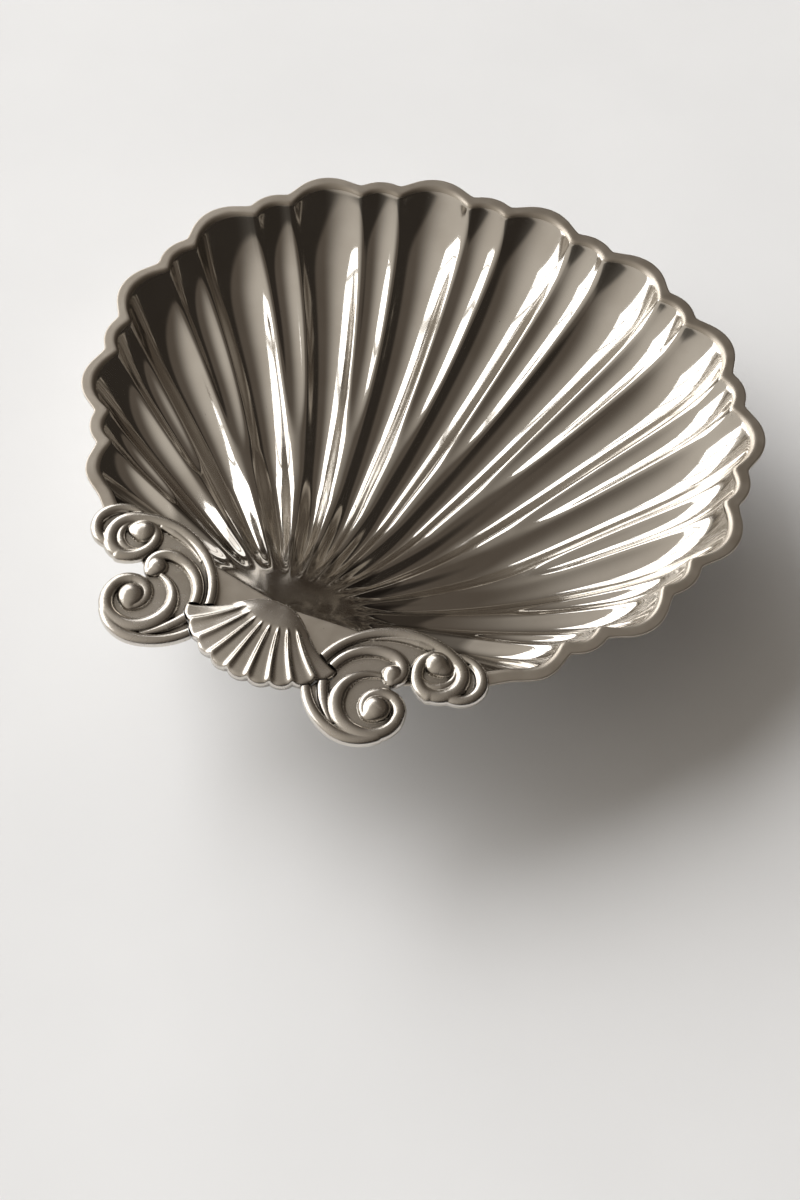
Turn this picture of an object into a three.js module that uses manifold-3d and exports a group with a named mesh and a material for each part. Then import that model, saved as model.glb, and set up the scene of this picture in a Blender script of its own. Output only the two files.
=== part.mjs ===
// A silver-plated scallop shell dish with a cast scroll-and-shell handle and three ball feet.
// Millimetres, +Z up. The drawing frame has the hub of the flutes at its origin, the fan along +Y and the
// flat rim's top at z = 0. The last lines stand the dish on its feet, centred on its box.

import * as THREE from 'three';
import { mergeVertices } from 'three/addons/utils/BufferGeometryUtils.js';
import Module from 'manifold-3d';

const wasm = await Module();
wasm.setup();

const rad = THREE.MathUtils.degToRad;
const { clamp, lerp, smoothstep } = THREE.MathUtils;

// Bowl plan: the lip's crests lie on a circle that bulges at the shoulders.
const LIP_RADIUS = 97;
const HUB_INSET = 11; // the hub lies this far inside the circle
const SHOULDER = 10;
const SHOULDER_SPAN = rad(80);
const EDGE_ANGLE = rad(82.8); // half of the fan's opening at the hub
const EDGE_STRIP = rad(5.6); // the last flute runs out along the handle over this angle
const EDGE_WALL = rad(2.8); // and climbs to the handle plate over this one

// Flutes: large ones with a small one between each pair.
const SIDE_FLUTES = 6; // large flutes on each side of the middle one
const LARGE_SHARE = 0.65; // a large flute's share of the pitch
const LARGE_DEPTH = 6.2; // at the lip
const SMALL_DEPTH = 2.8; // at the lip
const EDGE_DEPTH = 4.3; // of the last flute where it runs along the handle, at the lip
const FLUTE_TAPER = 0.75;
const SWEEP = rad(5.5); // the flutes turn outwards by this much
const SMALL_END = 0.52; // share of the reach where the middle small flutes end
const SMALL_END_SIDE = 0.18; // added to it beside the handle
const HUB_PLAIN = 22; // no flutes this close to the hub
const HUB_FADE = 14; // the flutes rise over this length
const CREST_ROUND_FROM = 0.85; // share of the reach where the crests start to round over
const CREST_ROUND_TO = 0.45;

// Bowl depth below the rim, measured on the crests.
const WALL_DEPTH = 10;
const WALL_ROUND = 6;
const SAUCER_DEPTH = 21;
const SAUCER_RUN = 95;
const HANDLE_RUN = 64; // the floor climbs to the handle over this length
const HANDLE_CURVE = 1.7;

// Sheet metal: the flat flange round the lip widens to a plate that carries the castings.
const SHEET = 1.2;
const FLANGE = 4.2;
const FLANGE_VALLEY = 0.8; // extra width between the lobes
const PLATE_REACH = 20;

// Castings.
const SOLDER = 0.3; // gap of every soldered seat
const BAND_LAND = 1.2; // straight edge of a scroll band below its round top
const WEB = 1.4; // ground of a scroll casting
const BALL_FLATTEN = 0.8;

// Shell cartouche between the scrolls.
const SHELL_LOBES = 9;
const SHELL_RADIUS = 30.2;
const SHELL_SCALLOP = 1.1;
const SHELL_CENTRE = 1.5; // its ribs spread from this far on the bowl's side of the hub
const SHELL_ANGLE = rad(59.5); // half angle between its corners
const SHELL_WAIST = rad(5); // its shoulders are drawn in by this much
const SHELL_EDGE = 2.4;
const SHELL_DOME = 1.7;
const SHELL_RIB = 0.9;
const RIB_SHARE = 0.25; // half width of a rib as a share of its lobe
const BOSS_RADIUS = 16.7; // arc of the plain boss at the bowl's side
const BOSS_SETBACK = 1.8; // from the centre of the ribs to the boss
const BOSS_LENGTH = 0.36; // share of the shell that the plain boss takes
const BOSS_TANGENT = 0.995; // the boss's arc ends just short of its tangent
const RIB_START = 0.8; // the ribs rise over this stretch, in boss lengths
const RIB_FULL = 1.3;

// Feet.
const RIM_HEIGHT = 45; // top of the rim above the table
const FOOT_RADIUS = 5.2;
const FOOT_PAD = 2.4; // flat underside
const FOOT_NECK = 3.2;
const FAN_FOOT_REACH = 122; // from the hub, under the middle flute
const REAR_FOOT_REACH = 72;
const REAR_FOOT_FLUTE = 3; // counted from the middle flute

// Mesh steps.
const ROWS = 15;
const ROW_CROWDING = 1.6; // rows crowd towards the lip
const LIP_STEPS = { large: 6, small: 4, wall: 3, from: 0.8 };
const FLOOR_STEPS = { large: 4, small: 2, wall: 2, from: 0.16 };
const HUB_STEPS = { large: 1, small: 1, wall: 1, from: 0 };
const ARC_STEP = rad(17);
const BAND_SIDES = 6;
const BALL_STEPS = 14;
const LOBE_STEPS = 4;
const SHELL_ROWS = 8;
const FOOT_STEPS = 20;
const FOOT_RINGS = 7;

const LIP_CENTRE = LIP_RADIUS - HUB_INSET;
const LARGE_HALF = LARGE_SHARE / 2;
const FLUTE_PITCH = (EDGE_ANGLE - EDGE_STRIP) / (SIDE_FLUTES + LARGE_HALF);

function plate(name, color, roughness) {
  return new THREE.MeshStandardMaterial({ name, color, roughness, metalness: 1 });
}

const POLISHED = plate('polished_silver', '#c9c4bb', 0.12);
const CAST = plate('cast_silver', '#bdb7ad', 0.24);

// Solids in and out of the boolean kernel

function toSolid(geometry) {
  const bare = geometry.clone();
  bare.deleteAttribute('normal');
  bare.deleteAttribute('uv');
  const merged = mergeVertices(bare, 1e-4);
  const vertProperties = new Float32Array(merged.attributes.position.array);
  const corners = merged.index.array;
  const kept = [];
  for (let i = 0; i < corners.length; i += 3) {
    const triangle = corners.slice(i, i + 3);
    if (new Set(triangle).size === 3) {
      kept.push(...triangle);
    }
  }
  const triVerts = new Uint32Array(kept);
  return new wasm.Manifold(new wasm.Mesh({ numProp: 3, vertProperties, triVerts }));
}

function toGeometry(solid, side = 1) {
  const { vertProperties, triVerts } = solid.getMesh();
  const positions = Array.from(vertProperties, (value, i) => (i % 3 === 0 ? value * side : value));
  const triangles = [];
  for (let i = 0; i < triVerts.length; i += 3) {
    const [a, b, c] = triVerts.subarray(i, i + 3);
    triangles.push(a, side > 0 ? b : c, side > 0 ? c : b);
  }
  return indexed(positions, triangles);
}

function indexed(positions, triangles) {
  const geometry = new THREE.BufferGeometry();
  geometry.setAttribute('position', new THREE.Float32BufferAttribute(positions, 3));
  geometry.setIndex(triangles);
  geometry.computeVertexNormals();
  return geometry;
}

// Bowl surface

function lipReach(angle) {
  const across = LIP_CENTRE * Math.sin(angle);
  const bulge = SHOULDER * Math.sin((Math.PI * angle) / SHOULDER_SPAN) ** 2;
  return LIP_CENTRE * Math.cos(angle) + Math.sqrt(LIP_RADIUS ** 2 - across ** 2) + bulge;
}

function lipPoint(angle) {
  return new THREE.Vector2(Math.sin(angle), Math.cos(angle)).multiplyScalar(lipReach(angle));
}

function lipNormal(angle) {
  const step = 1e-3;
  const along = lipPoint(angle + step).sub(lipPoint(angle - step)).normalize();
  return new THREE.Vector2(-along.y, along.x);
}

// Depth of the flutes below the crests, for the flute line that meets the lip at an angle.
function fluteDepth(angle, share, reach) {
  const phase = angle / FLUTE_PITCH;
  const flute = clamp(Math.round(phase), -SIDE_FLUTES, SIDE_FLUTES);
  const offset = Math.abs(phase - flute);
  const size = share ** FLUTE_TAPER * smoothstep(reach, HUB_PLAIN, HUB_PLAIN + HUB_FADE);
  const cusped = LARGE_DEPTH * Math.max(0, 1 - (offset / LARGE_HALF) ** 2);
  const waved = LARGE_DEPTH * (0.5 + 0.5 * Math.cos(2 * Math.PI * Math.min(offset, 0.5)));
  const channel = lerp(waved, cusped, smoothstep(share, CREST_ROUND_TO, CREST_ROUND_FROM));
  const runOut = lerp(LARGE_DEPTH, EDGE_DEPTH, smoothstep(offset, 0, LARGE_HALF));
  const climb = Math.min(1, (EDGE_ANGLE - Math.abs(angle)) / EDGE_WALL);
  const large = Math.abs(phase) < SIDE_FLUTES ? channel : runOut * (1 - (1 - climb) ** 2);

  const sideways = (Math.abs(angle) / EDGE_ANGLE) ** 2;
  const smallEnd = SMALL_END + SMALL_END_SIDE * sideways;
  const spent = Math.min(1, (1 - share) / (1 - smallEnd));
  const across = (0.5 - offset) / (0.5 - LARGE_HALF);
  const between = offset > LARGE_HALF && offset <= 0.5 && Math.abs(phase) < SIDE_FLUTES;
  const small = between ? SMALL_DEPTH * Math.max(0, 1 - spent ** 4 - across ** 2) : 0;
  return size * (large + small);
}

// A point of the bowl's inside: share runs from 0 at the hub to 1 at the lip.
function bowlPoint(angle, share) {
  const reach = lipReach(angle) * share;
  const fromLip = lipReach(angle) - reach;
  const turned = SWEEP * Math.sin((Math.PI * angle) / EDGE_ANGLE) * (1 - share ** 2);
  const heading = angle - turned;
  const fromHandle = reach * Math.sin(EDGE_ANGLE - Math.abs(heading));

  const wall = 1 - Math.exp(-fromLip / WALL_ROUND);
  const saucer = 1 - (1 - Math.min(1, fromLip / SAUCER_RUN)) ** 2;
  const climb = 1 - (1 - Math.min(1, fromHandle / HANDLE_RUN)) ** HANDLE_CURVE;
  const depth = (WALL_DEPTH * wall + SAUCER_DEPTH * saucer) * climb;

  const flute = fluteDepth(angle, share, reach);
  const bulge = lipNormal(angle).multiplyScalar(flute * (1 - wall));
  const x = reach * Math.sin(heading) + bulge.x;
  const y = reach * Math.cos(heading) + bulge.y;
  return new THREE.Vector3(x, y, -depth - flute * wall);
}

// Flute lines of one row, as the angles at which they meet the lip.
function lipAngles({ large, small, wall }) {
  const angles = [];
  for (let flute = -SIDE_FLUTES; flute <= SIDE_FLUTES; flute += 1) {
    for (let step = 0; step <= large; step += 1) {
      angles.push((flute - LARGE_HALF + (LARGE_SHARE * step) / large) * FLUTE_PITCH);
    }
    for (let step = 1; step < small && flute < SIDE_FLUTES; step += 1) {
      angles.push((flute + LARGE_HALF + ((1 - LARGE_SHARE) * step) / small) * FLUTE_PITCH);
    }
  }
  const walls = [];
  for (let step = 0; step <= wall; step += 1) {
    walls.push(EDGE_ANGLE - EDGE_WALL * (1 - step / wall));
  }
  return [...walls.map((angle) => -angle).reverse(), ...angles, ...walls];
}

function flangePoint(angle) {
  const lip = bowlPoint(angle, 1);
  const lobe = Math.min(1, fluteDepth(angle, 1, lipReach(angle)) / SMALL_DEPTH);
  const out = lipNormal(angle).multiplyScalar(FLANGE + FLANGE_VALLEY * (1 - lobe));
  return new THREE.Vector3(lip.x + out.x, lip.y + out.y, 0);
}

// Outer edge of the plate that carries the castings, beside a point of the bowl's handle edge.
function platePoint(side, share) {
  const corner = flangePoint(side * EDGE_ANGLE);
  const drop = PLATE_REACH * (1 - share ** 2);
  return new THREE.Vector3(corner.x * share, corner.y * share - drop, 0);
}

// Top of the sheet: vertices, triangles and the loop of its outer edge.
function sheetTop() {
  const vertices = [];
  const triangles = [];

  const addRow = (points) => points.map((point) => vertices.push(point) - 1);

  // Fills the strip between an outer and an inner row, whose vertices sit at their own angles.
  const stitch = (outer, outerAngles, inner, innerAngles) => {
    let a = 0;
    let b = 0;
    while (a < outer.length - 1 || b < inner.length - 1) {
      const nextA = a < outer.length - 1 ? outerAngles[a + 1] : Infinity;
      const nextB = b < inner.length - 1 ? innerAngles[b + 1] : Infinity;
      if (nextA <= nextB) {
        triangles.push(outer[a], inner[b], outer[a + 1]);
        a += 1;
      } else {
        triangles.push(outer[a], inner[b], inner[b + 1]);
        b += 1;
      }
    }
  };

  const lipLine = lipAngles(LIP_STEPS);
  const flange = addRow(lipLine.map(flangePoint));
  const rightEdge = [flange.at(-1)];
  const leftEdge = [flange[0]];
  const rightInner = [];
  const leftInner = [];
  let outer = flange;
  let outerAngles = lipLine;
  for (let row = 0; row <= ROWS; row += 1) {
    const share = 1 - (row / ROWS) ** ROW_CROWDING;
    const steps = [LIP_STEPS, FLOOR_STEPS, HUB_STEPS].find(({ from }) => share >= from);
    const angles = row < ROWS ? lipAngles(steps) : [0];
    const inner = addRow(angles.map((angle) => bowlPoint(angle, share)));
    stitch(outer, outerAngles, inner, angles);
    rightInner.push(inner.at(-1));
    leftInner.push(inner[0]);
    if (row > 0) {
      rightEdge.push(...addRow([platePoint(1, share)]));
      leftEdge.push(row < ROWS ? addRow([platePoint(-1, share)])[0] : rightEdge.at(-1));
    }
    outer = inner;
    outerAngles = angles;
  }

  for (let row = 0; row < ROWS; row += 1) {
    const right = [rightEdge[row], rightInner[row], rightInner[row + 1], rightEdge[row + 1]];
    const left = [leftEdge[row + 1], leftInner[row + 1], leftInner[row], leftEdge[row]];
    for (const [a, b, c, d] of [right, left]) {
      triangles.push(a, b, c, a, c, d);
    }
  }
  const loop = [...leftEdge.slice(1).reverse(), ...flange, ...rightEdge.slice(1, -1)];
  return { vertices, triangles, loop };
}

// A solid between the sheet's top, lifted, and its underside, which lies below it by a thickness.
function sheetSolid(thickness, lift = 0) {
  const { vertices, triangles, loop } = sheetTop();
  const count = vertices.length;
  const top = vertices.flatMap(({ x, y, z }) => [x, y, z]);
  const normals = indexed(top, triangles).attributes.normal;
  const lifted = vertices.flatMap(({ x, y, z }) => [x, y, z + lift]);
  const under = vertices.flatMap((point, i) => {
    const normal = new THREE.Vector3().fromBufferAttribute(normals, i);
    return point.clone().addScaledVector(normal, -thickness).toArray();
  });
  const faces = [...triangles];
  for (let i = 0; i < triangles.length; i += 3) {
    faces.push(triangles[i] + count, triangles[i + 2] + count, triangles[i + 1] + count);
  }
  loop.forEach((a, i) => {
    const b = loop[(i + 1) % loop.length];
    faces.push(a, b, b + count, a, b + count, a + count);
  });
  return indexed([...lifted, ...under], faces);
}

// Scroll castings: bands along chains of arcs, drawn for the right-hand side

const UPPER_BAND = {
  start: [19.4, -14.2],
  heading: 84,
  half: 1.4,
  bend: -1,
  arcs: [
    { radius: 26.3, turn: 78, half: 2.1 },
    { radius: 24.4, turn: 34, half: 1.8 },
    { radius: 7.6, turn: 104, half: 2.3 },
    { radius: 6.8, turn: 76, half: 1.8 },
  ],
};
const UPPER_CURL = {
  start: [54, -8.1],
  heading: 169,
  half: 2.1,
  bend: -1,
  arcs: [
    { radius: 8.9, turn: 87, half: 1.5 },
    { radius: 4.3, turn: 111, half: 1.3 },
  ],
};
const MIDDLE_BAND = {
  start: [24, -14.4],
  heading: 89,
  half: 1.5,
  bend: -1,
  arcs: [
    { radius: 14.4, turn: 86, half: 1.9 },
    { radius: 6, turn: 70, half: 1.7 },
    { radius: 4.4, turn: 84, half: 1.3 },
  ],
};
const LOWER_BAND = {
  start: [38.3, -8.4],
  heading: -169,
  half: 0.8,
  bend: 1,
  arcs: [
    { radius: 10.4, turn: 90, half: 2.3 },
    { radius: 10.6, turn: 91, half: 1.9 },
    { radius: 8.8, turn: 79, half: 1.8 },
    { radius: 6.9, turn: 60, half: 1.7 },
  ],
};
const LOWER_CURL = {
  start: [49.5, -20],
  heading: 83,
  half: 1.6,
  bend: 1,
  arcs: [
    { radius: 5.8, turn: 129, half: 1.6 },
    { radius: 5.1, turn: 95, half: 1.3 },
  ],
};
const OUTER_BAND = {
  start: [17.9, -17.6],
  heading: -72,
  half: 1.4,
  bend: 1,
  arcs: [
    { radius: 21.8, turn: 61, half: 1.6 },
    { radius: 13, turn: 62, half: 1.6 },
  ],
};
const INNER_RIB = {
  start: [22.2, -14.6],
  heading: -76,
  half: 1.4,
  bend: 1,
  arcs: [{ radius: 30, turn: 34, half: 0.6 }],
};
const TAIL_BAND = {
  start: [57.5, 9.3],
  heading: 8,
  half: 1.1,
  bend: -1,
  arcs: [
    { radius: 8.1, turn: 84, half: 1.5 },
    { radius: 6.8, turn: 78, half: 1.3 },
  ],
};
const EYES = [
  { x: 52, y: 2.5, radius: 4.2 },
  { x: 41.5, y: -6.4, radius: 3.2 },
  { x: 42.2, y: -19, radius: 4.3 },
];

// Stations along a band: place, direction across it and half width.
function bandStations({ start, heading, half, bend, arcs }) {
  let [x, y] = start;
  let angle = rad(heading);
  let width = half;
  const stations = [{ x, y, angle, half: width }];
  for (const arc of arcs) {
    const steps = Math.ceil(rad(arc.turn) / ARC_STEP);
    const turn = (bend * rad(arc.turn)) / steps;
    const chord = 2 * arc.radius * Math.sin(Math.abs(turn) / 2);
    for (let step = 1; step <= steps; step += 1) {
      x += chord * Math.cos(angle + turn / 2);
      y += chord * Math.sin(angle + turn / 2);
      angle += turn;
      stations.push({ x, y, angle, half: lerp(width, arc.half, step / steps) });
    }
    width = arc.half;
  }
  return stations;
}

// Half-round band with straight edges and a flat underside.
function bandSolid(band) {
  const stations = bandStations(band);
  const ring = BAND_SIDES + 3;
  const positions = [];
  for (const { x, y, angle, half } of stations) {
    const put = (across, z) => {
      positions.push(x - across * Math.sin(angle), y + across * Math.cos(angle), z);
    };
    put(half, SOLDER);
    for (let side = 0; side <= BAND_SIDES; side += 1) {
      const round = (Math.PI * side) / BAND_SIDES;
      put(half * Math.cos(round), SOLDER + BAND_LAND + half * Math.sin(round));
    }
    put(-half, SOLDER);
  }
  const triangles = [];
  for (let station = 0; station < stations.length - 1; station += 1) {
    for (let side = 0; side < ring; side += 1) {
      const a = station * ring + side;
      const b = station * ring + ((side + 1) % ring);
      triangles.push(a, b, b + ring, a, b + ring, a + ring);
    }
  }
  const last = (stations.length - 1) * ring;
  for (let side = 1; side < ring - 1; side += 1) {
    triangles.push(0, side + 1, side);
    triangles.push(last, last + side, last + side + 1);
  }
  return toSolid(indexed(positions, triangles));
}

function eyeSolid({ x, y, radius }) {
  const profile = [new THREE.Vector2(0, 0), new THREE.Vector2(radius, 0)];
  const rings = BAND_SIDES;
  for (let ring = 0; ring <= rings; ring += 1) {
    const round = (0.5 * Math.PI * ring) / rings;
    const out = ring < rings ? radius * Math.cos(round) : 0;
    profile.push(new THREE.Vector2(out, BAND_LAND + radius * BALL_FLATTEN * Math.sin(round)));
  }
  const ball = new THREE.LatheGeometry(profile, BALL_STEPS);
  ball.rotateX(Math.PI / 2);
  ball.translate(x, y, SOLDER);
  return toSolid(ball);
}

// Flat plate inside an outline, standing on the solder.
function webSolid(outline, height, base = SOLDER) {
  const web = new THREE.ExtrudeGeometry(new THREE.Shape(outline), { depth: height, bevelEnabled: false });
  web.translate(0, 0, base);
  return toSolid(web);
}

function scrollSolid() {
  const outline = (band) => bandStations(band).map(({ x, y }) => new THREE.Vector2(x, y));
  const around = [
    ...outline(UPPER_BAND),
    ...outline({ ...LOWER_CURL, arcs: LOWER_CURL.arcs.slice(0, 1) }).reverse(),
    ...outline(OUTER_BAND).reverse(),
  ];
  const pieces = [
    webSolid(around, WEB),
    webSolid(outline(TAIL_BAND), WEB),
    ...[UPPER_BAND, UPPER_CURL, MIDDLE_BAND, LOWER_BAND, LOWER_CURL].map(bandSolid),
    ...[OUTER_BAND, INNER_RIB, TAIL_BAND].map(bandSolid),
    ...EYES.map(eyeSolid),
  ];
  const whole = pieces.reduce((sum, piece) => sum.add(piece));
  const room = webSolid(shellOutline(SOLDER), SHELL_EDGE + SHELL_DOME + SHELL_RIB + BAND_LAND, 0);
  return whole.subtract(room);
}

// Shell cartouche: across runs from -1 to 1 over its lobes, along from the boss to the scalloped edge

function shellSide(along) {
  const bossAngle = Math.asin(BOSS_RADIUS / (BOSS_RADIUS + BOSS_SETBACK)) * BOSS_TANGENT;
  return lerp(bossAngle, SHELL_ANGLE, along) - SHELL_WAIST * Math.sin(Math.PI * along);
}

function shellPoint(across, along) {
  const bossAngle = across * shellSide(0);
  const bossCentre = BOSS_RADIUS + BOSS_SETBACK;
  const sagitta = Math.sqrt(BOSS_RADIUS ** 2 - (bossCentre * Math.sin(bossAngle)) ** 2);
  const near = bossCentre * Math.cos(bossAngle) - sagitta;
  const lobe = ((across + 1) / 2) * SHELL_LOBES;
  const inLobe = 2 * (lobe - Math.floor(lobe)) - 1;
  const far = SHELL_RADIUS + SHELL_SCALLOP * (1 - inLobe ** 2);
  const reach = lerp(near, far, along);
  const angle = across * shellSide(along);
  return new THREE.Vector2(reach * Math.sin(angle), SHELL_CENTRE - reach * Math.cos(angle));
}

function shellHeight(across, along) {
  const toBoss = along / BOSS_LENGTH;
  const pastBoss = (along - BOSS_LENGTH) / (1 - BOSS_LENGTH);
  const rise = along < BOSS_LENGTH ? Math.sin(0.5 * Math.PI * toBoss) : Math.cos(0.5 * Math.PI * pastBoss);
  const dome = SHELL_DOME * rise * (1 - across ** 4);
  const lobe = ((across + 1) / 2) * SHELL_LOBES;
  const inside = lobe > 0.5 && lobe < SHELL_LOBES - 0.5;
  const crest = Math.max(0, 1 - Math.abs(lobe - Math.round(lobe)) / RIB_SHARE);
  const rib = inside ? SHELL_RIB * crest * smoothstep(toBoss, RIB_START, RIB_FULL) : 0;
  return SOLDER + SHELL_EDGE + dome + rib;
}

const SHELL_COLUMNS = SHELL_LOBES * LOBE_STEPS;

// Corners of the shell's edge as column and row numbers, once round.
function shellLoop() {
  const loop = [];
  for (let column = 0; column < SHELL_COLUMNS; column += 1) {
    loop.push([column, 0]);
  }
  for (let row = 0; row < SHELL_ROWS; row += 1) {
    loop.push([SHELL_COLUMNS, row]);
  }
  for (let column = SHELL_COLUMNS; column > 0; column -= 1) {
    loop.push([column, SHELL_ROWS]);
  }
  for (let row = SHELL_ROWS; row > 0; row -= 1) {
    loop.push([0, row]);
  }
  return loop;
}

function shellGrid(column, row) {
  return [(2 * column) / SHELL_COLUMNS - 1, row / SHELL_ROWS];
}

// The shell's outline, moved out by a gap.
function shellOutline(gap) {
  const points = shellLoop().map(([column, row]) => shellPoint(...shellGrid(column, row)));
  const out = THREE.ShapeUtils.isClockWise(points) ? 1 : -1;
  return points.map((point, i) => {
    const along = points[(i + 1) % points.length].clone().sub(points.at(i - 1)).normalize();
    return new THREE.Vector2(point.x - out * gap * along.y, point.y + out * gap * along.x);
  });
}

function shellGeometry() {
  const positions = [];
  for (let row = 0; row <= SHELL_ROWS; row += 1) {
    for (let column = 0; column <= SHELL_COLUMNS; column += 1) {
      const [across, along] = shellGrid(column, row);
      const { x, y } = shellPoint(across, along);
      positions.push(x, y, shellHeight(across, along));
    }
  }
  const vertex = (column, row) => row * (SHELL_COLUMNS + 1) + column;
  const triangles = [];
  for (let row = 0; row < SHELL_ROWS; row += 1) {
    for (let column = 0; column < SHELL_COLUMNS; column += 1) {
      const a = vertex(column, row);
      const b = vertex(column + 1, row);
      const c = vertex(column + 1, row + 1);
      const d = vertex(column, row + 1);
      triangles.push(a, c, b, a, d, c);
    }
  }
  const loop = shellLoop();
  const edge = loop.map(([column, row]) => vertex(column, row));
  const under = positions.length / 3;
  const outline = shellOutline(0);
  outline.forEach(({ x, y }) => positions.push(x, y, SOLDER));
  edge.forEach((a, i) => {
    const next = (i + 1) % edge.length;
    triangles.push(a, edge[next], under + next, a, under + next, under + i);
  });
  for (const [a, b, c] of THREE.ShapeUtils.triangulateShape(outline, [])) {
    triangles.push(under + a, under + c, under + b);
  }
  return indexed(positions, triangles);
}

// Ball feet, cut to the underside of the flute that they are soldered to

function footSolid(flute, reach, room) {
  const angle = flute * FLUTE_PITCH;
  const floor = bowlPoint(angle, reach / lipReach(angle));
  const centre = Math.sqrt(FOOT_RADIUS ** 2 - FOOT_PAD ** 2) - RIM_HEIGHT;
  const from = Math.asin(FOOT_PAD / FOOT_RADIUS) - Math.PI;
  const to = -Math.asin(FOOT_NECK / FOOT_RADIUS);
  const profile = [new THREE.Vector2(0, -RIM_HEIGHT)];
  for (let ring = 0; ring <= FOOT_RINGS; ring += 1) {
    const turn = lerp(from, to, ring / FOOT_RINGS);
    profile.push(new THREE.Vector2(-FOOT_RADIUS * Math.sin(turn), centre + FOOT_RADIUS * Math.cos(turn)));
  }
  const top = floor.z + FOOT_NECK;
  profile.push(new THREE.Vector2(FOOT_NECK, top), new THREE.Vector2(0, top));
  const foot = new THREE.LatheGeometry(profile, FOOT_STEPS);
  foot.rotateX(Math.PI / 2);
  foot.translate(floor.x, floor.y, 0);
  return toSolid(foot).subtract(room);
}

// Assembly

const shellDish = new THREE.Group();

function add(name, geometry, material) {
  const mesh = new THREE.Mesh(geometry, material.clone());
  mesh.name = name;
  shellDish.add(mesh);
}

add('dish_body', sheetSolid(SHEET), POLISHED);
add('shell_cartouche', shellGeometry(), CAST);
const scroll = scrollSolid();
add('right_scroll', toGeometry(scroll, 1), CAST);
add('left_scroll', toGeometry(scroll, -1), CAST);
const room = toSolid(sheetSolid(SHEET + SOLDER, RIM_HEIGHT));
add('fan_foot', toGeometry(footSolid(0, FAN_FOOT_REACH, room)), CAST);
add('right_foot', toGeometry(footSolid(REAR_FOOT_FLUTE, REAR_FOOT_REACH, room)), CAST);
add('left_foot', toGeometry(footSolid(-REAR_FOOT_FLUTE, REAR_FOOT_REACH, room)), CAST);

const box = new THREE.Box3().setFromObject(shellDish);
const middle = box.getCenter(new THREE.Vector3());
shellDish.position.set(-middle.x, -middle.y, -box.min.z);
shellDish.updateMatrixWorld(true);

export default shellDish;
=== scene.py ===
"""Looks of a silver-plated scallop shell dish with a scroll-and-shell handle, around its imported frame.

Sizes are millimetres in a drawing frame with the hub of the flutes at its origin, the fan along +Y and the
top of the flat rim at z = 0. to_row() moves them to the frame, in metres.
"""

import math

import bpy
import numpy as np
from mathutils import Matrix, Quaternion, Vector


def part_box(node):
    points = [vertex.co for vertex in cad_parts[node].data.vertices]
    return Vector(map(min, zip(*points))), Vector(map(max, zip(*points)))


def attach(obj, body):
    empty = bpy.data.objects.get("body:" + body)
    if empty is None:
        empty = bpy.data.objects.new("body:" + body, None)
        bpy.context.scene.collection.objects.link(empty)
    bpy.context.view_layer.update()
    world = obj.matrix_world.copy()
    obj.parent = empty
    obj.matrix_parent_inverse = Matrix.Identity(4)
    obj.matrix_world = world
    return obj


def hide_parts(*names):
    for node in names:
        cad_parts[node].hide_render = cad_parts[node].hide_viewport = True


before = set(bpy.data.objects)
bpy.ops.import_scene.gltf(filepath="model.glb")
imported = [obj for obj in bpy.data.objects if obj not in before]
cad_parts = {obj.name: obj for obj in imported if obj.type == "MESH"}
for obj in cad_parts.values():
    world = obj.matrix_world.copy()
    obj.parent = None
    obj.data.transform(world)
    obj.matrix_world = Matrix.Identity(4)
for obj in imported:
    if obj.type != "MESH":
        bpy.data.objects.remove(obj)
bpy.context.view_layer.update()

MM = 0.001
TINY = 1e-12

# Bowl plan
LIP_RADIUS = 97.0
HUB_INSET = 11.0
SHOULDER = 10.0
SHOULDER_SPAN = math.radians(80)
EDGE_ANGLE = math.radians(82.8)
EDGE_STRIP = math.radians(5.6)
EDGE_WALL = math.radians(2.8)

# Flutes
SIDE_FLUTES = 6
LARGE_SHARE = 0.65
LARGE_DEPTH = 6.2
SMALL_DEPTH = 2.8
EDGE_DEPTH = 4.3
FLUTE_TAPER = 0.75
SWEEP = math.radians(5.5)
SMALL_END = 0.52
SMALL_END_SIDE = 0.18
HUB_PLAIN = 22.0
HUB_FADE = 14.0
CREST_ROUND_FROM = 0.85
CREST_ROUND_TO = 0.45
CREST_SOFT = 0.35
UNDER_SOFT = 1.2

# Bowl depth
WALL_DEPTH = 10.0
WALL_ROUND = 6.0
SAUCER_DEPTH = 21.0
SAUCER_RUN = 95.0
HANDLE_RUN = 64.0
HANDLE_CURVE = 1.7
EDGE_BLEND = 0.06

# Sheet, rim and handle plate
SHEET = 1.2
FLANGE = 4.2
FLANGE_VALLEY = 0.8
PLATE_REACH = 20.0
LIP_ROLL_IN = 0.7
LIP_ROLL_OUT = 1.0
PLATE_ROLL = 1.5
EDGE_ROUND = 0.35

# Castings
SOLDER = 0.3
BAND_LAND = 1.0
BAND_RISE = 0.95
BAND_SWELL = 0.75
WEB = 0.8
FLANK = 3.0
CREASE = 0.08
CURL_LEAD = 0.8
CURL_SWELL = 2.2
SHELL_LOBES = 9
SHELL_RADIUS = 30.2
SHELL_SCALLOP = 1.1
SHELL_CENTRE = 1.5
SHELL_ANGLE = math.radians(59.5)
SHELL_WAIST = math.radians(5)
SHELL_EDGE = 2.4
SHELL_DOME = 1.7
SHELL_RIB = 0.9
SHELL_ROUND = 1.2
RIB_WIDTH = 0.15
BOSS_RISE = 0.75
BOSS_RADIUS = 16.7
BOSS_SETBACK = 1.8
BOSS_LENGTH = 0.36
BOSS_TANGENT = 0.995
RIB_START = 0.9
RIB_FULL = 1.2

# Feet
FOOT_RADIUS = 5.2
FOOT_PAD = 2.4
FOOT_NECK = 3.2
FOOT_FLARE = 1.2
FOOT_CREASE = math.radians(40)

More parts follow.
